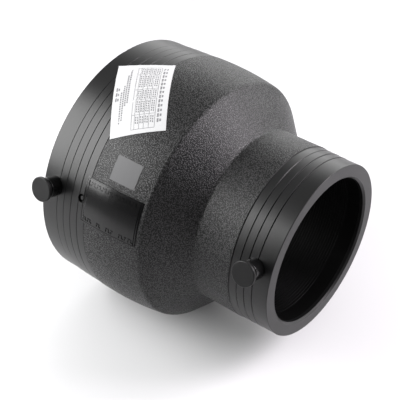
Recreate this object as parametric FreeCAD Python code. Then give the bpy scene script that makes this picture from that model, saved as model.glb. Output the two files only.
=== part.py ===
import FreeCAD, Part
import math
import os

V = FreeCAD.Vector

# ---- driving dimensions (mm) ----
LENGTH = 178.6              # face to face; x runs from the large face, then moves to the large stop
LINE_DEG = 19.0             # terminal line above the horizontal, on the -Y side
LARGE_BORE_R = 80.6         # socket for 160 mm pipe
SMALL_BORE_R = 55.4         # socket for 110 mm pipe
LARGE_DEPTH = 82.0          # socket depths
SMALL_DEPTH = 63.0
LARGE_R = 97.3              # textured barrel radii
SMALL_R = 66.8
LARGE_STOP_R = 74.0         # inner stop rings
THROAT_R = 46.5
LARGE_BANDS = [(0.0, 96.0), (14.4, 96.3), (21.2, 96.6), (28.1, 96.8), (34.8, 96.9)]   # start, radius
LARGE_BAND_END = 41.8
SMALL_BANDS = [(0.0, 65.8), (12.3, 66.0), (18.7, 66.2), (24.8, 66.3)]    # start from the small face, radius
SMALL_BAND_END = 31.1
BAND_NOTCH = 0.4            # depth and half width of the line between two bands
EDGE_NOTCH = 0.15           # depth of the line at the small end's eroded finish
RIM_ROUND = 0.5
MOUTH_CHAMFER = 1.4
LIP_LENGTH = 4.0            # bare shell ahead of the sleeve, bored to the same radius
CROWN_START = 50.3          # the large barrel starts to fall here
SHOULDER = (90.6, 93.5)     # x, radius of the shoulder corner
SHOULDER_ROUND = 5.0
CONE_END = (116.1, 66.7)
CONE_ROUND = 2.5

SLEEVE_WALL = 2.8
WIRE_R = 0.45
WIRE_COVER = 0.35           # plastic between the bore and the wire
LARGE_COIL = (16.0, 2.8, 18)        # start from the face, pitch, turns
SMALL_COIL = (14.0, 2.1, 18)

LARGE_POST_X = 10.9         # terminal posts, from their own face
SMALL_POST_X = 12.8
SHROUD_R = 7.4
SHROUD_BORE_R = 6.2
SHROUD_HEIGHT = 9.6         # above the barrel
SHROUD_FLOOR = -1.5
SHROUD_FOOT = -3.0          # set into the barrel
PIN_R = 2.0
PIN_TIP = 8.6
ROOT_R = 2.6
ROOT_FLANGE_R = 3.6
CAP_R = 9.0
CAP_TOP = 14.5
CAP_DISC = 2.4
CAP_NECK_R = 6.7
CAP_PLUG_R = 5.9
CAP_BORE_R = 2.8             # hollow plug, clear of the pin and of a 4 mm socket
CAP_PLUG_BOTTOM = 0.8

FERRULE_R = 1.5
FERRULE_LENGTH = 5.0        # of the two on the link wire
LINK_WAY = [(78.0, 82.2), (84.5, 83.2), (110.0, 59.5), (118.0, 57.0)]     # x, radius between the two coils

WELL_R = 3.2
WELL_DEPTH = 2.4
INDICATOR_R = 1.6
INDICATOR_BORE_R = 1.66
INDICATOR_FOOT_R = 2.3
INDICATOR_TRAVEL = 3.0

PLATE = (38.9, 87.7, -8.6, 11.4, 0.6)       # x from, x to, degrees from, degrees to, height
MARK_PAD = (56.1, 77.1, 14.4, 24.9, 0.25)
LABEL_CENTRE = (43.4, 51.0)         # x, degrees up from the terminal line
LABEL_SIZE = (40.5, 62.5)
LABEL_TURN = 57.0                   # long side from the run axis
LABEL_THICK = 0.25


def radial(deg):
    """Unit vector away from the run axis, deg up from the terminal line."""
    a = math.radians(LINE_DEG + deg)
    return V(0, -math.cos(a), math.sin(a))


def at(x, r, deg=0.0):
    u = radial(deg)
    return V(x, u.y * r, u.z * r)


def turned(points):
    """Solid of revolution about the run axis from (x, radius) points; a point may carry a rounding radius."""
    edges = []
    n = len(points)
    trims = []
    for i, p in enumerate(points):
        here = V(p[0], p[1], 0)
        if len(p) < 3 or p[2] == 0:
            trims.append((here, None, here))
            continue
        back = V(*points[i - 1][:2], 0) - here
        on = V(*points[(i + 1) % n][:2], 0) - here
        half = back.getAngle(on) / 2
        reach = p[2] / math.tan(half)
        bis = (back.normalize() + on.normalize()).normalize()
        centre = here + bis * (p[2] / math.sin(half))
        trims.append((here + back * reach, centre - bis * p[2], here + on * reach))
    for i in range(n):
        a, mid, b = trims[i]
        if mid is not None:
            edges.append(Part.Arc(a, mid, b).toShape())
        nxt = trims[(i + 1) % n][0]
        if (nxt - b).Length > 1e-6:
            edges.append(Part.makeLine(b, nxt))
    face = Part.Face(Part.Wire(edges))
    return face.revolve(V(0, 0, 0), V(1, 0, 0), 360)


def rod(x, r0, r1, radius, deg=0.0):
    """Cylinder along a radial line, from radius r0 to r1 about the run axis."""
    return Part.makeCylinder(radius, r1 - r0, at(x, r0, deg), radial(deg))


def cone_rod(x, r0, r1, ra, rb, deg=0.0):
    return Part.makeCone(ra, rb, r1 - r0, at(x, r0, deg), radial(deg))


def sector(x0, x1, r0, r1, d0, d1):
    """Curved block between two radii and two angles."""
    pts = [V(x0, r0, 0), V(x1, r0, 0), V(x1, r1, 0), V(x0, r1, 0)]
    block = Part.Face(Part.makePolygon(pts + pts[:1])).revolve(V(0, 0, 0), V(1, 0, 0), d1 - d0)
    # +Y turned about X to the start angle; the sweep runs down, so it starts at the upper edge
    block.rotate(V(0, 0, 0), V(1, 0, 0), 180.0 - LINE_DEG - d1)
    return block


def crown():
    """Points where the large barrel falls on a wide arc to the shoulder, in short chords."""
    drop, run = LARGE_R - SHOULDER[1], SHOULDER[0] - CROWN_START
    return [(CROWN_START + run * i / 8, LARGE_R - drop * (i / 8) ** 2) for i in range(8)]


def outer_profile():
    """Upper line of the shell, from the large face to the small face, with fine lines between the bands."""
    pts = []
    for i, (x, r) in enumerate(LARGE_BANDS):
        if i == 0:
            pts.append((x, r, RIM_ROUND))
        else:
            before = LARGE_BANDS[i - 1][1]
            pts += [(x - BAND_NOTCH, before), (x, before - BAND_NOTCH), (x + BAND_NOTCH, r)]
    last = LARGE_BANDS[-1][1]
    pts += [(LARGE_BAND_END - BAND_NOTCH, last), (LARGE_BAND_END, last - BAND_NOTCH),
            (LARGE_BAND_END + BAND_NOTCH, LARGE_R)]
    pts += crown()
    pts.append((SHOULDER[0], SHOULDER[1], SHOULDER_ROUND))
    pts.append((CONE_END[0], CONE_END[1], CONE_ROUND))
    end = LENGTH - SMALL_BAND_END
    before = SMALL_BANDS[-1][1]
    pts += [(end - BAND_NOTCH, SMALL_R), (end, before - EDGE_NOTCH), (end + BAND_NOTCH, before)]
    for i in range(len(SMALL_BANDS) - 1, 0, -1):
        x = LENGTH - SMALL_BANDS[i][0]
        r = SMALL_BANDS[i - 1][1]
        pts += [(x - BAND_NOTCH, SMALL_BANDS[i][1]), (x, r - BAND_NOTCH), (x + BAND_NOTCH, r)]
    pts.append((LENGTH, SMALL_BANDS[0][1], RIM_ROUND))
    return pts


def inner_profile():
    """Inner line of the shell from the small face back to the large face; the sleeves line the pockets."""
    small_stop = LENGTH - SMALL_DEPTH
    slope = (SHOULDER[1] - CONE_END[1]) / (CONE_END[0] - SHOULDER[0])
    cone_foot = LARGE_DEPTH + 3 + (LARGE_STOP_R - THROAT_R) / slope
    return [
        (LENGTH, SMALL_BORE_R + MOUTH_CHAMFER),
        (LENGTH - MOUTH_CHAMFER, SMALL_BORE_R),
        (LENGTH - LIP_LENGTH, SMALL_BORE_R),
        (LENGTH - LIP_LENGTH, SMALL_BORE_R + SLEEVE_WALL),
        (small_stop, SMALL_BORE_R + SLEEVE_WALL),
        (small_stop, THROAT_R),
        (cone_foot, THROAT_R, 3.0),
        (LARGE_DEPTH + 3, LARGE_STOP_R, 3.0),
        (LARGE_DEPTH, LARGE_STOP_R),
        (LARGE_DEPTH, LARGE_BORE_R + SLEEVE_WALL),
        (LIP_LENGTH, LARGE_BORE_R + SLEEVE_WALL),
        (LIP_LENGTH, LARGE_BORE_R),
        (MOUTH_CHAMFER, LARGE_BORE_R),
        (0.0, LARGE_BORE_R + MOUTH_CHAMFER),
    ]


# each socket, measured from its own face
SOCKETS = {
    "large": dict(bore=LARGE_BORE_R, depth=LARGE_DEPTH, face=0.0, way=1, post=LARGE_POST_X, skin=96.0,
                  coil=LARGE_COIL, spot=37.2, spot_deg=1.0, spot_skin=96.9, foot=86.6),
    "small": dict(bore=SMALL_BORE_R, depth=SMALL_DEPTH, face=LENGTH, way=-1, post=SMALL_POST_X, skin=66.0,
                  coil=SMALL_COIL, spot=23.8, spot_deg=-3.0, spot_skin=66.2, foot=58.8),
}


def along(s, d):
    """x of a point d mm in from a socket's own face."""
    return s["face"] + s["way"] * d


def wire_r(s):
    return s["bore"] + WIRE_COVER + WIRE_R


def root_r(s):
    """Radius about the run axis at which a terminal pin's root ends."""
    return s["bore"] + SLEEVE_WALL + 3.2


def link_points():
    """Route of the link wire from the inner end of one coil to that of the other."""
    ends = []
    for s in SOCKETS.values():
        start, pitch, turns = s["coil"]
        ends.append((along(s, start + pitch * turns), wire_r(s)))
    return [ends[0], *LINK_WAY, ends[1]]


def sleeve(s):
    """Core that lines a socket and carries the winding."""
    xs = sorted([along(s, LIP_LENGTH), along(s, s["depth"])])
    return turned([(xs[0], s["bore"]), (xs[1], s["bore"]),
                   (xs[1], s["bore"] + SLEEVE_WALL), (xs[0], s["bore"] + SLEEVE_WALL)])


def coil(s):
    """Heating winding, eight-sided in section: half turns that lean to and fro, from the terminal line in."""
    start, pitch, turns = s["coil"]
    r = wire_r(s)
    bits = []
    for k in range(2 * turns):
        side = 1 if k % 2 == 0 else -1
        centre = V(0, 0, pitch * (2 * k + 1) / 4)
        corners = [math.pi * j / 4 for j in range(8)]
        rim = [V(side * r + WIRE_R * math.cos(a), 0, pitch * k / 2 + WIRE_R * math.sin(a)) for a in corners]
        face = Part.Face(Part.makePolygon(rim + rim[:1]))
        bits.append(face.revolve(centre, V(side * pitch / 4, 0, r), 180))
    wire = bits[0].multiFuse(bits[1:])
    wire.rotate(V(0, 0, 0), V(0, 1, 0), 90)
    wire.rotate(V(0, 0, 0), V(1, 0, 0), 270.0 - LINE_DEG)
    wire.translate(V(min(along(s, start), along(s, start + pitch * turns)), 0, 0))
    return wire


def wire_run(points, radius):
    """Round wire through (x, radius) points on the terminal line."""
    places = [at(x, r) for x, r in points]
    run = None
    for i in range(len(places) - 1):
        step = places[i + 1] - places[i]
        bit = Part.makeCylinder(radius, step.Length, places[i], step)
        if i:
            bit = bit.fuse(Part.makeSphere(radius, places[i]))
        run = bit if run is None else run.fuse(bit)
    return run


def lead(s):
    x0, x1 = along(s, s["coil"][0]), along(s, s["post"])
    return wire_run([(x0, wire_r(s)), (x1, wire_r(s)), (x1, root_r(s) - 0.2)], WIRE_R)


def crimp(s):
    """Ferrule between the lead and the pin's root."""
    x = along(s, s["post"])
    r0 = root_r(s) - 2.4
    return rod(x, r0, root_r(s), FERRULE_R).cut(rod(x, r0, root_r(s) - 0.2, WIRE_R))


def pin(s):
    """Contact pin: free shank, anchoring flange and grooved root."""
    x, skin = along(s, s["post"]), s["skin"]
    floor = skin + SHROUD_FLOOR
    tip = skin + PIN_TIP
    body = rod(x, floor, tip - 0.5, PIN_R).fuse(cone_rod(x, tip - 0.5, tip, PIN_R, PIN_R - 0.5))
    body = body.fuse(rod(x, floor - 1.0, floor, ROOT_FLANGE_R))
    body = body.fuse(rod(x, root_r(s), floor - 1.0, ROOT_R))
    return body.removeSplitter()


def shroud(s):
    """Post around the contact pin, set into the barrel, open to the outside."""
    x, skin = along(s, s["post"]), s["skin"]
    floor, top = skin + SHROUD_FLOOR, skin + SHROUD_HEIGHT
    post = rod(x, skin + SHROUD_FOOT, top, SHROUD_R)
    rim = [e for e in post.Edges if (e.CenterOfMass - at(x, top)).Length < 0.1]
    post = post.makeFillet(0.5, rim).cut(rod(x, floor, top + 1.0, SHROUD_BORE_R))
    post = post.cut(rod(x, floor - 1.0, floor, ROOT_FLANGE_R))
    return post.cut(rod(x, skin + SHROUD_FOOT, floor - 1.0, ROOT_R))


def cap(s):
    """Push-on cap: disc, neck that stops on the shroud's rim, and a hollow plug that fits inside it."""
    x, skin = along(s, s["post"]), s["skin"]
    under = skin + CAP_TOP - CAP_DISC
    disc = rod(x, under, skin + CAP_TOP, CAP_R)
    rims = [e for e in disc.Edges if e.Curve.TypeId == "Part::GeomCircle"]
    disc = disc.makeFillet(0.7, rims)
    neck = rod(x, skin + SHROUD_HEIGHT + 0.1, under + 0.2, CAP_NECK_R)
    plug = rod(x, skin + CAP_PLUG_BOTTOM, skin + SHROUD_HEIGHT + 0.1, CAP_PLUG_R)
    whole = disc.fuse([neck, plug]).removeSplitter()
    return whole.cut(rod(x, skin + CAP_PLUG_BOTTOM, skin + SHROUD_HEIGHT + 0.6, CAP_BORE_R))


def indicator(s):
    """Melt indicator: a pin with a retaining foot, its tip just under the barrel's skin."""
    x, deg = along(s, s["spot"]), s["spot_deg"]
    foot = rod(x, s["foot"], s["foot"] + 1.0, INDICATOR_FOOT_R, deg)
    tip = s["spot_skin"] - 0.6
    stem = rod(x, s["foot"] + 1.0, tip - 0.4, INDICATOR_R, deg)
    nose = cone_rod(x, tip - 0.4, tip, INDICATOR_R, INDICATOR_R - 0.4, deg)
    return foot.fuse([stem, nose]).removeSplitter()


def indicator_well(s):
    x, deg, foot = along(s, s["spot"]), s["spot_deg"], s["foot"]
    floor = s["spot_skin"] - WELL_DEPTH
    chamber = rod(x, foot - 0.1, foot + 1.1 + INDICATOR_TRAVEL, INDICATOR_FOOT_R + 0.35, deg)
    return chamber.fuse([rod(x, foot + 1.0, floor + 0.1, INDICATOR_BORE_R, deg),
                         rod(x, floor, s["spot_skin"] + 2.0, WELL_R, deg)])


def skin_line():
    """Outer line of the large barrel without the fine lines, for what is laid on it."""
    pts = [(2.0, LARGE_BANDS[0][1])]
    for i in range(1, len(LARGE_BANDS)):
        x = LARGE_BANDS[i][0]
        pts += [(x - BAND_NOTCH, LARGE_BANDS[i - 1][1]), (x + BAND_NOTCH, LARGE_BANDS[i][1])]
    pts += [(LARGE_BAND_END - BAND_NOTCH, LARGE_BANDS[-1][1]), (LARGE_BAND_END + BAND_NOTCH, LARGE_R)]
    return pts + crown()


def laid_on(lift, block):
    """Skin of a given thickness on the large barrel, inside a cutting block."""
    line = skin_line()
    upper = [(x, r + lift) for x, r in line]
    return turned(line + upper[::-1]).common(block)


def plate_block(spec):
    x0, x1, d0, d1 = spec[:4]
    block = sector(x0, x1, 60.0, 110.0, d0, d1)
    edges = []
    for e in block.Edges:
        a, b = e.Vertexes[0].Point, e.Vertexes[-1].Point
        if abs(a.x - b.x) < 1e-6 and abs((a - b).Length - 50.0) < 1e-3:
            edges.append(e)
    return block.makeFillet(2.0, edges)


def label():
    """Paper label stuck on askew across the bands."""
    x, deg = LABEL_CENTRE
    out = radial(deg)
    up = radial(deg + 90)
    turn = math.radians(LABEL_TURN)
    run = V(math.cos(turn), 0, 0) - up * math.sin(turn)
    wide = V(math.sin(turn), 0, 0) + up * math.cos(turn)
    short, long_ = LABEL_SIZE
    start = at(x, 70.0, deg) - run * (long_ / 2) - wide * (short / 2)
    corners = [start, start + run * long_, start + run * long_ + wide * short, start + wide * short]
    block = Part.Face(Part.makePolygon(corners + corners[:1])).extrude(out * 40.0)
    return laid_on(LABEL_THICK, block)


def link_seat(end):
    """Start and direction of a link ferrule on the wire's slanting run."""
    a, b = at(*LINK_WAY[1]), at(*LINK_WAY[2])
    step = (b - a).normalize()
    return (a + step * 1.5 if end == "large" else b - step * (1.5 + FERRULE_LENGTH)), step


def link_ferrule(end):
    start, step = link_seat(end)
    tube = Part.makeCylinder(FERRULE_R, FERRULE_LENGTH, start, step)
    return tube.cut(Part.makeCylinder(WIRE_R, FERRULE_LENGTH, start, step))


def body():
    """Moulded shell with its raised pads, less the seats of everything set into it."""
    shell = turned(outer_profile() + inner_profile())
    for spec in (PLATE, MARK_PAD):
        shell = shell.fuse(laid_on(spec[4], plate_block(spec)))
    cuts = [wire_run(link_points(), WIRE_R)]
    for name, s in SOCKETS.items():
        x, skin = along(s, s["post"]), s["skin"]
        cuts += [rod(x, skin + SHROUD_FOOT, skin + 3.0, SHROUD_R),
                 rod(x, root_r(s), skin + SHROUD_FOOT, ROOT_R),
                 rod(x, root_r(s) - 2.6, root_r(s), FERRULE_R),
                 rod(x, s["bore"] + SLEEVE_WALL - 0.5, root_r(s) - 2.6, WIRE_R),
                 indicator_well(s)]
        start, step = link_seat(name)
        cuts.append(Part.makeCylinder(FERRULE_R, FERRULE_LENGTH, start, step))
    for tool in cuts:
        shell = shell.cut(tool)
    return shell.removeSplitter()


def main():
    os.makedirs("parts", exist_ok=True)
    parts = {"body": body(), "link_wire": wire_run(link_points(), WIRE_R), "rating_label": label()}
    for name, s in SOCKETS.items():
        parts[name + "_winding_sleeve"] = sleeve(s)
        parts[name + "_heating_coil"] = coil(s)
        parts[name + "_lead_wire"] = lead(s)
        parts[name + "_crimp_ferrule"] = crimp(s)
        parts[name + "_link_ferrule"] = link_ferrule(name)
        parts[name + "_terminal_pin"] = pin(s)
        parts[name + "_terminal_post"] = shroud(s)
        parts[name + "_terminal_cap"] = cap(s)
        parts[name + "_fusion_indicator"] = indicator(s)
    for name, shape in parts.items():
        # the library origin is where the large pipe's end stops
        shape.translate(V(-LARGE_DEPTH, 0, 0))
        shape.exportStep("parts/" + name + ".step")
        print(name, shape.isValid(), len(shape.Solids), round(shape.Volume, 1))


main()
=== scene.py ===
import math

import bmesh
import bpy
from mathutils import Matrix, Vector


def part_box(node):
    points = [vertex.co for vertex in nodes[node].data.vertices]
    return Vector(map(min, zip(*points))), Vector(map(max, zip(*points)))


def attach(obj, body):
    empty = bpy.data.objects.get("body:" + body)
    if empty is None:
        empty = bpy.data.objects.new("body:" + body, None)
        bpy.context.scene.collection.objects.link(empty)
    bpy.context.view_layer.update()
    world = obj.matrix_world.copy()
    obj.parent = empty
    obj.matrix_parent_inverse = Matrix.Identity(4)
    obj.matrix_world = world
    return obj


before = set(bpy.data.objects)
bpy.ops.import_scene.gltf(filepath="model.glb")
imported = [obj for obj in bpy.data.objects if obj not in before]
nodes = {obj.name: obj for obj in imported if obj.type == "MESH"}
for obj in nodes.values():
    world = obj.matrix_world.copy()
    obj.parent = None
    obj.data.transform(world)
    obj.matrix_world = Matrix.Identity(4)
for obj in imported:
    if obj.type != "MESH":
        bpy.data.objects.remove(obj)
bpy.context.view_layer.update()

# ---- places on the part; lengths along the run axis are in mm from the large end face ----
MM = 0.001
BODY_LOW, BODY_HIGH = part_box("body")
X_LARGE = BODY_LOW[0]                       # large end face, metres
LENGTH = (BODY_HIGH[0] - BODY_LOW[0]) / MM
R_MAX = -BODY_LOW[2]                        # widest radius of the barrel, metres
LINE_DEG = 19.0                             # terminal line above the horizontal, on the -Y side

BAND_EDGES = [(2.0, 96.0), (14.4, 96.3), (21.2, 96.6), (28.1, 96.8), (34.8, 96.9), (41.8, 97.3)]
BAND_NOTCH = 0.4
CROWN_START, SHOULDER_X, SHOULDER_R = 50.3, 90.6, 93.5
GRAIN = (42.0, LENGTH - 31.3)               # the eroded finish lies between the smooth bands
PLATE = (38.9, 87.7, -8.6, 11.4)            # x from, x to, degrees from, degrees to
PLATE_HEIGHT = 0.6
PAD = (56.1, 77.1, 14.4, 24.9)
LABEL_X, LABEL_DEG, LABEL_TURN = 43.4, 51.0, math.radians(57.0)
LABEL_THICK = 0.25
# each socket: bore radius, face, way in, first turn from the face, pitch, turns
COILS = {"large": (80.6, 0.0, 1, 16.0, 2.8, 18), "small": (55.4, LENGTH, -1, 14.0, 2.1, 18)}

PE_BLACK = (0.003, 0.003, 0.0031)
PAD_GREY = (0.075, 0.075, 0.077)
PE_SHINE = 0.28                             # specular level of the smooth black plastic
GRAIN_SHINE = (0.18, 0.62)                  # between the grains and on top of them
GRAINS_PER_METRE = 1300.0
GRAIN_RELIEF = 0.00011                      # metres, in the shading only


def skin(x):
    """Radius of the large barrel, in mm: steps at the bands, then a slow fall to the shoulder."""
    r = BAND_EDGES[0][1]
    for (_, low), (edge, high) in zip(BAND_EDGES, BAND_EDGES[1:]):
        share = min(max((x - edge + BAND_NOTCH) / (2 * BAND_NOTCH), 0.0), 1.0)
        r = low + (high - low) * share if share > 0 else r
    fall = max(0.0, (x - CROWN_START) / (SHOULDER_X - CROWN_START))
    return r - (BAND_EDGES[-1][1] - SHOULDER_R) * fall ** 2


def at(x, r, deg):
    """Point from a length along the axis, a radius and an angle up from the terminal line."""
    a = math.radians(LINE_DEG + deg)
    return Vector((X_LARGE + x * MM, -math.cos(a) * r * MM, math.sin(a) * r * MM))


# ---- materials ----
class Nodes:
    """A short way to write a node tree, for a material or for the world."""

    def __init__(self, owner):
        owner.use_nodes = True
        self.tree = owner.node_tree
        self.coords = self.add("ShaderNodeTexCoord")
        self.place = self.coords.outputs["Object"]

    def add(self, kind, **settings):
        node = self.tree.nodes.new(kind)
        for key, value in settings.items():
            setattr(node, key, value)
        return node

    def put(self, socket, value):
        if isinstance(value, bpy.types.NodeSocket):
            self.tree.links.new(value, socket)
        elif value is not None:
            socket.default_value = value

    def math(self, op, a, b=None):
        node = self.add("ShaderNodeMath", operation=op)
        for socket, value in zip(node.inputs, (a, b)):
            self.put(socket, value)
        return node.outputs[0]

    def product(self, first, *others):
        for other in others:
            first = self.math("MULTIPLY", first, other)
        return first

    def less(self, value):
        """One minus a value."""
        return self.math("SUBTRACT", 1.0, value)

    def axes(self, vector):
        node = self.add("ShaderNodeSeparateXYZ")
        self.put(node.inputs[0], vector)
        return node.outputs

    def step(self, value, low, high):
        """0 below low, 1 above high, smooth between."""
        node = self.add("ShaderNodeMapRange", interpolation_type="SMOOTHSTEP")
        for socket, v in zip(node.inputs, (value, low, high, 0.0, 1.0)):
            self.put(socket, v)
        return node.outputs[0]

    def window(self, value, low, high, soft):
        """1 between low and high, 0 outside."""
        rise = self.step(value, low - soft, low + soft)
        return self.product(rise, self.step(value, high + soft, high - soft))

    def noise(self, scale, detail=2.0, rough=0.5):
        node = self.add("ShaderNodeTexNoise")
        settings = {"Vector": self.place, "Scale": scale, "Detail": detail, "Roughness": rough}
        for name, value in settings.items():
            self.put(node.inputs[name], value)
        return node.outputs["Fac"]

    def cells(self, scale):
        """Distance to the nearest of scattered points: about 0 to 0.8."""
        node = self.add("ShaderNodeTexVoronoi")
        self.put(node.inputs["Vector"], self.place)
        self.put(node.inputs["Scale"], scale)
        return node.outputs["Distance"]

    def mix(self, fac, a, b):
        return self.math("ADD", self.product(a, self.less(fac)), self.product(b, fac))

    def tint(self, fac, a, b):
        """Colour a where fac is 0, b where it is 1; each is a colour or a node's colour output."""
        node = self.add("ShaderNodeMix", data_type="RGBA")
        self.put(node.inputs[0], fac)
        sockets = [i for i in node.inputs if i.type == "RGBA"]
        for socket, value in zip(sockets, (a, b)):
            self.put(socket, (*value, 1.0) if isinstance(value, tuple) else value)
        return [o for o in node.outputs if o.type == "RGBA"][0]

    def bump(self, height, strength, distance):
        node = self.add("ShaderNodeBump")
        for name, value in (("Height", height), ("Strength", strength), ("Distance", distance)):
            self.put(node.inputs[name], value)
        return node.outputs["Normal"]


def new_material(name):
    mat = bpy.data.materials.new(name)
    n = Nodes(mat)
    n.bsdf = n.tree.nodes["Principled BSDF"]
    return mat, n


def scaled(colour, share):
    return tuple(c * share for c in colour)


def shell_material():
    """Black PE: eroded grain on the barrels and cone, smooth bands, nameplate and maker's pad."""
    mat, n = new_material("pe_shell")
    px, py, pz = n.axes(n.place)
    x = n.product(n.math("SUBTRACT", px, X_LARGE), 1 / MM)
    turn = n.math("DEGREES", n.math("ARCTAN2", pz, n.product(py, -1.0)))
    deg = n.math("SUBTRACT", turn, LINE_DEG)
    radius = n.math("POWER", n.math("ADD", n.math("POWER", py, 2.0), n.math("POWER", pz, 2.0)), 0.5)
    plate = n.product(n.window(x, PLATE[0], PLATE[1], 0.15), n.window(deg, PLATE[2], PLATE[3], 0.1))
    pad = n.product(n.window(x, PAD[0], PAD[1], 0.3), n.window(deg, PAD[2], PAD[3], 0.2))
    # a radius inside the wall all along the part: 88 mm in the large barrel, 62 mm in the small one
    mid_wall = n.math("ADD", 0.062, n.product(n.less(n.step(x, 88.0, 114.0)), 0.026))
    outside = n.math("GREATER_THAN", radius, mid_wall)
    grain = n.product(n.window(x, GRAIN[0], GRAIN[1], 0.25), outside, n.less(n.math("MAXIMUM", plate, pad)))

    speck = n.less(n.step(n.cells(GRAINS_PER_METRE), 0.15, 0.62))
    flow = n.noise(60.0)
    patches = n.noise(22.0, 3.0, 0.6)
    height = n.math("ADD", n.product(speck, grain), n.product(flow, 0.17))
    n.put(n.bsdf.inputs["Normal"], n.bump(height, 1.0, GRAIN_RELIEF))
    dark = n.tint(n.product(speck, grain), PE_BLACK, scaled(PE_BLACK, 3.0))
    n.put(n.bsdf.inputs["Base Color"], n.tint(pad, dark, PAD_GREY))
    rough = n.mix(grain, n.mix(patches, 0.30, 0.38), n.mix(speck, 0.46, 0.28))
    rough = n.mix(plate, rough, n.mix(patches, 0.15, 0.24))
    n.put(n.bsdf.inputs["Roughness"], n.mix(pad, rough, 0.55))
    shine = n.mix(grain, PE_SHINE, n.mix(speck, *GRAIN_SHINE))
    n.put(n.bsdf.inputs["Specular IOR Level"], shine)
    return mat


def plain_plastic(name, colour, rough, shine=PE_SHINE):
    """Smooth moulding with faint flow marks."""
    mat, n = new_material(name)
    soft = n.noise(90.0, 3.0, 0.6)
    n.put(n.bsdf.inputs["Base Color"], n.tint(soft, scaled(colour, 0.85), scaled(colour, 1.15)))
    n.put(n.bsdf.inputs["Roughness"], n.mix(soft, rough - 0.05, rough + 0.07))
    n.put(n.bsdf.inputs["Normal"], n.bump(n.noise(900.0), 0.12, 0.0002))
    n.bsdf.inputs["Specular IOR Level"].default_value = shine
    return mat


def metal(name, colour, rough):
    mat, n = new_material(name)
    drawn = n.noise(700.0)
    n.put(n.bsdf.inputs["Base Color"], n.tint(drawn, scaled(colour, 0.8), colour))
    n.bsdf.inputs["Metallic"].default_value = 1.0
    n.put(n.bsdf.inputs["Roughness"], n.mix(drawn, rough, rough + 0.12))
    return mat


def paper():
    mat, n = new_material("label_paper")
    fibre = n.noise(1200.0, 3.0, 0.6)
    n.put(n.bsdf.inputs["Base Color"], n.tint(n.noise(30.0), (0.38, 0.385, 0.39), (0.42, 0.42, 0.42)))
    n.put(n.bsdf.inputs["Roughness"], n.mix(fibre, 0.45, 0.6))
    n.put(n.bsdf.inputs["Normal"], n.bump(fibre, 0.15, 0.0002))
    return mat


shell_pe = shell_material()
# painted shade: the sleeve's black is darker and duller than the shell's, so the deep bore reads black
sleeve_pe_painted_shade = plain_plastic("pe_sleeve_painted_shade", (0.001, 0.001, 0.001), 0.42, 0.07)
post_pe = plain_plastic("pe_post", PE_BLACK, 0.18)
cap_pe = plain_plastic("pe_cap", (0.005, 0.005, 0.0051), 0.36, 0.2)
indicator_pe = plain_plastic("pe_indicator", (0.015, 0.015, 0.015), 0.26)
wire = metal("wire_copper", (0.72, 0.42, 0.26), 0.3)
ferrule = metal("ferrule_brass", (0.80, 0.68, 0.42), 0.35)
contact = metal("contact_tin", (0.82, 0.80, 0.76), 0.25)
label_paper = paper()
ink = plain_plastic("label_ink", (0.15, 0.15, 0.155), 0.5)

LOOKS = {"winding_sleeve": sleeve_pe_painted_shade, "heating_coil": wire, "lead_wire": wire, "crimp_ferrule": ferrule,
         "link_ferrule": ferrule, "terminal_pin": contact, "terminal_post": post_pe, "terminal_cap": cap_pe,
         "fusion_indicator": indicator_pe}


def finish_cad():
    """Give every CAD node its material."""
    looks = {"body": shell_pe, "link_wire": wire, "rating_label": label_paper}
    for end in COILS:
        looks.update({end + "_" + part: mat for part, mat in LOOKS.items()})
    for name, mat in looks.items():
        nodes[name].data.materials.clear()
        nodes[name].data.materials.append(mat)


finish_cad()


# ---- pieces ----
def new_piece(name, bm, mat, smooth):
    """A mesh piece fixed to the shell."""
    mesh = bpy.data.meshes.new(name)
    bmesh.ops.recalc_face_normals(bm, faces=bm.faces)
    bm.to_mesh(mesh)
    bm.free()
    obj = bpy.data.objects.new(name, mesh)
    bpy.context.scene.collection.objects.link(obj)
    mesh.materials.append(mat)
    for face in mesh.polygons:
        face.use_smooth = smooth
    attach(obj, "shell")


def loft(bm, rings):
    """Closed solid through rings of points."""
    rows = [[bm.verts.new(p) for p in ring] for ring in rings]
    for a, b in zip(rows, rows[1:]):
        for j in range(len(a)):
            k = (j + 1) % len(a)
            bm.faces.new((a[j], a[k], b[k], b[j]))
    bm.faces.new(rows[0])
    bm.faces.new(rows[-1][::-1])


def strip(bm, place, u0, u1, v0, v1, low, high):
    """Closed thin bar that follows a curved surface; place(u, v, lift) gives its points, in mm."""
    along = abs(u1 - u0) >= abs(v1 - v0)
    steps = max(1, math.ceil(max(abs(u1 - u0), abs(v1 - v0)) / 2.5))
    rings = []
    for i in range(steps + 1):
        t = i / steps
        if along:
            u = u0 + (u1 - u0) * t
            rings.append([place(u, v0, low), place(u, v1, low), place(u, v1, high), place(u, v0, high)])
        else:
            v = v0 + (v1 - v0) * t
            rings.append([place(u0, v, low), place(u1, v, low), place(u1, v, high), place(u0, v, high)])
    loft(bm, rings)


def label_place(u, v, lift):
    """Point on the label: u along its long side, v across it, both in mm from its middle."""
    out = (at(0, 1, LABEL_DEG) - at(0, 0, 0)).normalized()
    up = (at(0, 1, LABEL_DEG + 90) - at(0, 0, 0)).normalized()
    run = Vector((math.cos(LABEL_TURN), 0, 0)) - up * math.sin(LABEL_TURN)
    wide = Vector((math.sin(LABEL_TURN), 0, 0)) + up * math.cos(LABEL_TURN)
    flat = at(LABEL_X, 0, 0) + (run * u + wide * v) * MM
    side = up.dot(flat)
    r = (skin((flat.x - X_LARGE) / MM) + LABEL_THICK + lift) * MM
    return Vector((flat.x, 0, 0)) + up * side + out * math.sqrt(r * r - side * side)


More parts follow.
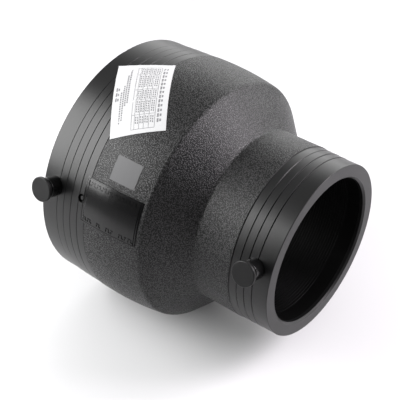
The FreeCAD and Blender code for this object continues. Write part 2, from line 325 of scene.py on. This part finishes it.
def label_print():
    """Generic table, heading blocks and text bars on the label, in mm from its middle."""
    bm = bmesh.new()

    def bar(u0, u1, v0, v1):
        strip(bm, label_place, u0, u1, v0, v1, -0.05, 0.03)

    # the table: its frame, columns and rows
    top, bottom, left, right, line = -27.5, 28.0, -4.8, 12.0, 0.16
    for v in (left, -2.6, 0.9, 4.2, 7.8, right):
        bar(top, bottom, v - line, v + line)
    for u in (top, -20.0, -5.0, 4.5, 17.0, bottom):
        bar(u - line, u + line, left, right)
    # entries in its cells: rows of short strokes
    for v in (-0.9, 2.5, 6.0, 9.9):
        for start, count in ((-26.5, 3), (-18.8, 6), (-4.0, 4), (5.6, 5), (18.4, 3)):
            for k in range(count):
                u = start + 2.0 * k
                bar(u, u + 1.4, v - 1.1, v - 0.35)
                bar(u + 0.3, u + 1.7, v + 0.35, v + 1.1)
    # heading blocks beside the table
    for k in range(13):
        u = -26.5 + 4.0 * k
        bar(u, u + 2.9, 13.5, 14.7)
        bar(u + 0.4, u + 2.4, 15.3, 16.5)
    # text lines on the other side
    pitch = 1.9
    lines = [(-14.2, -4.0, 24.0), (-12.5, -10.0, 21.0), (-10.9, -20.0, 10.0), (-9.3, -26.0, 8.0)]
    for v, start, end in lines:
        for k in range(int((end - start) / pitch)):
            u = start + pitch * k
            bar(u, u + 1.4, v - 0.5, v + 0.5)
    # three pairs of larger blocks near the edge
    for u in (-8.5, -4.0, 0.5):
        bar(u, u + 3.2, -18.4, -17.3)
        bar(u + 0.6, u + 2.8, -16.9, -15.8)
    new_piece("label_print", bm, ink, smooth=False)


def plate_place(u, v, lift):
    """Point on the nameplate: u in mm from the large face, v in mm up from the terminal line."""
    r = skin(u) + PLATE_HEIGHT + lift
    return at(u, r, math.degrees(v / r))


def plate_marks():
    """Raised generic marks on the nameplate: a bottom row in groups and a patterned strip along the top."""
    bm = bmesh.new()

    def bar(u0, u1, v0, v1, high):
        strip(bm, plate_place, u0, u1, v0, v1, -0.15, high)

    # the bottom row: strokes joined in turn at the foot and at the head
    low_row, tall, pen, raised = -12.6, 2.8, 0.6, 0.45
    for start, count in ((41.0, 4), (54.0, 2), (62.5, 3), (73.8, 3), (81.4, 2)):
        for k in range(count):
            u = start + 2.3 * k
            bar(u, u + pen, low_row, low_row + tall, raised)
            join = low_row if k % 2 else low_row + tall - pen
            bar(u + pen, u + 1.6, join, join + pen, raised)
    # the strip along the top
    top_row = 14.0
    for k in range(17):
        u = 41.0 + 2.55 * k
        dash = top_row + 2.0 * (k % 2)
        bar(u, u + 0.6, top_row, top_row + 3.2, 0.35)
        bar(u + 0.9, u + 2.0, dash, dash + 0.8, 0.35)
    for k in range(5):
        u = 46.0 + 5.0 * k
        bar(u, u + 3.4, 8.0, 8.5, 0.2)
    # a thin raised border
    bottom, top, pen, raised = -14.0, 18.4, 0.2, 0.22
    for v in (bottom, top):
        bar(39.6, 87.0, v - pen, v + pen, raised)
    for u in (39.5, 86.9):
        bar(u - pen, u + pen, bottom, top, raised)
    new_piece("nameplate_marks", bm, shell_pe, smooth=False)


def bore_turns(end):
    """Low ridge on the bore where the buried winding lifts it."""
    r, face, way, start, pitch, turns = COILS[end]
    around, half_wide, ridge, buried = 120, 0.6, 0.08, 0.25
    rings = []
    for i in range(turns * around + 1):
        x = face + way * (start + pitch * i / around)
        deg = 360.0 * i / around
        profile = [(-half_wide, buried), (-half_wide, 0.0), (-half_wide / 2, -0.7 * ridge), (0.0, -ridge),
                   (half_wide / 2, -0.7 * ridge), (half_wide, 0.0), (half_wide, buried)]
        rings.append([at(x + dx, r + dr, deg) for dx, dr in profile])
    bm = bmesh.new()
    loft(bm, rings)
    # the ridges take the sleeve's darkened black, painted shade of the bore
    new_piece(end + "_bore_turns", bm, sleeve_pe_painted_shade, smooth=True)


label_print()
plate_marks()
for end in COILS:
    bore_turns(end)


# ---- stage, light and camera ----
def floor():
    bpy.ops.mesh.primitive_plane_add(size=30.0, location=(0, 0, -R_MAX))
    plane = bpy.context.object
    plane.name = "floor"
    mat, n = new_material("floor_pale")
    n.put(n.bsdf.inputs["Base Color"], n.tint(n.noise(3.0), (0.52, 0.52, 0.525), (0.54, 0.54, 0.545)))
    n.bsdf.inputs["Roughness"].default_value = 0.6
    plane.data.materials.append(mat)


def softbox(name, place, target, size, glow, colour):
    """Flat lamp; glow is its surface brightness."""
    data = bpy.data.lights.new(name, "AREA")
    data.shape = "RECTANGLE"
    data.size, data.size_y = size
    data.energy = glow * math.pi * size[0] * size[1]
    data.color = colour
    lamp = bpy.data.objects.new(name, data)
    bpy.context.scene.collection.objects.link(lamp)
    lamp.location = place
    lamp.rotation_euler = (Vector(target) - Vector(place)).to_track_quat("-Z", "Y").to_euler()
    lamp.visible_camera = False


def studio():
    """Even surround: brighter behind the part, dim low down in front of it."""
    world = bpy.data.worlds.new("studio")
    bpy.context.scene.world = world
    n = Nodes(world)
    _, y, z = n.axes(n.coords.outputs["Generated"])
    behind = n.step(y, 0.45, 0.95)
    low_front = n.product(n.less(n.step(y, -0.6, 0.0)), n.less(n.step(z, 0.1, 0.45)))
    glow = n.math("ADD", 0.4, n.product(n.step(z, 0.5, 0.95), 0.35))
    glow = n.math("ADD", glow, n.product(behind, 3.2))
    n.put(n.tree.nodes["Background"].inputs["Strength"], n.product(glow, n.less(n.product(low_front, 0.8))))
    n.tree.nodes["Background"].inputs["Color"].default_value = (1.0, 1.0, 1.0, 1.0)


floor()
studio()
softbox("key", (-0.515, -0.43, 0.37), (-0.02, 0.0, 0.02), (0.58, 0.62), 12.0, (1.0, 1.0, 1.0))
softbox("back", (0.56, 0.40, 0.48), (0.02, 0.0, 0.03), (0.42, 0.32), 24.0, (1.0, 0.94, 1.0))
bpy.context.scene.view_settings.view_transform = "Standard"


def camera():
    data = bpy.data.cameras.new("camera")
    data.lens = 86.7
    data.sensor_width = 36.0
    cam = bpy.data.objects.new("camera", data)
    bpy.context.scene.collection.objects.link(cam)
    right = Vector((0.7765, 0.6301, 0.0)).normalized()
    forward = Vector((-0.4914, 0.6056, -0.6259)).normalized()
    up = right.cross(forward)
    turn = Matrix((right, up, -forward)).transposed()
    place = Vector((X_LARGE + 0.4290, -0.4437, 0.4495))
    cam.matrix_world = Matrix.Translation(place) @ turn.to_4x4()
    bpy.context.scene.camera = cam


camera()
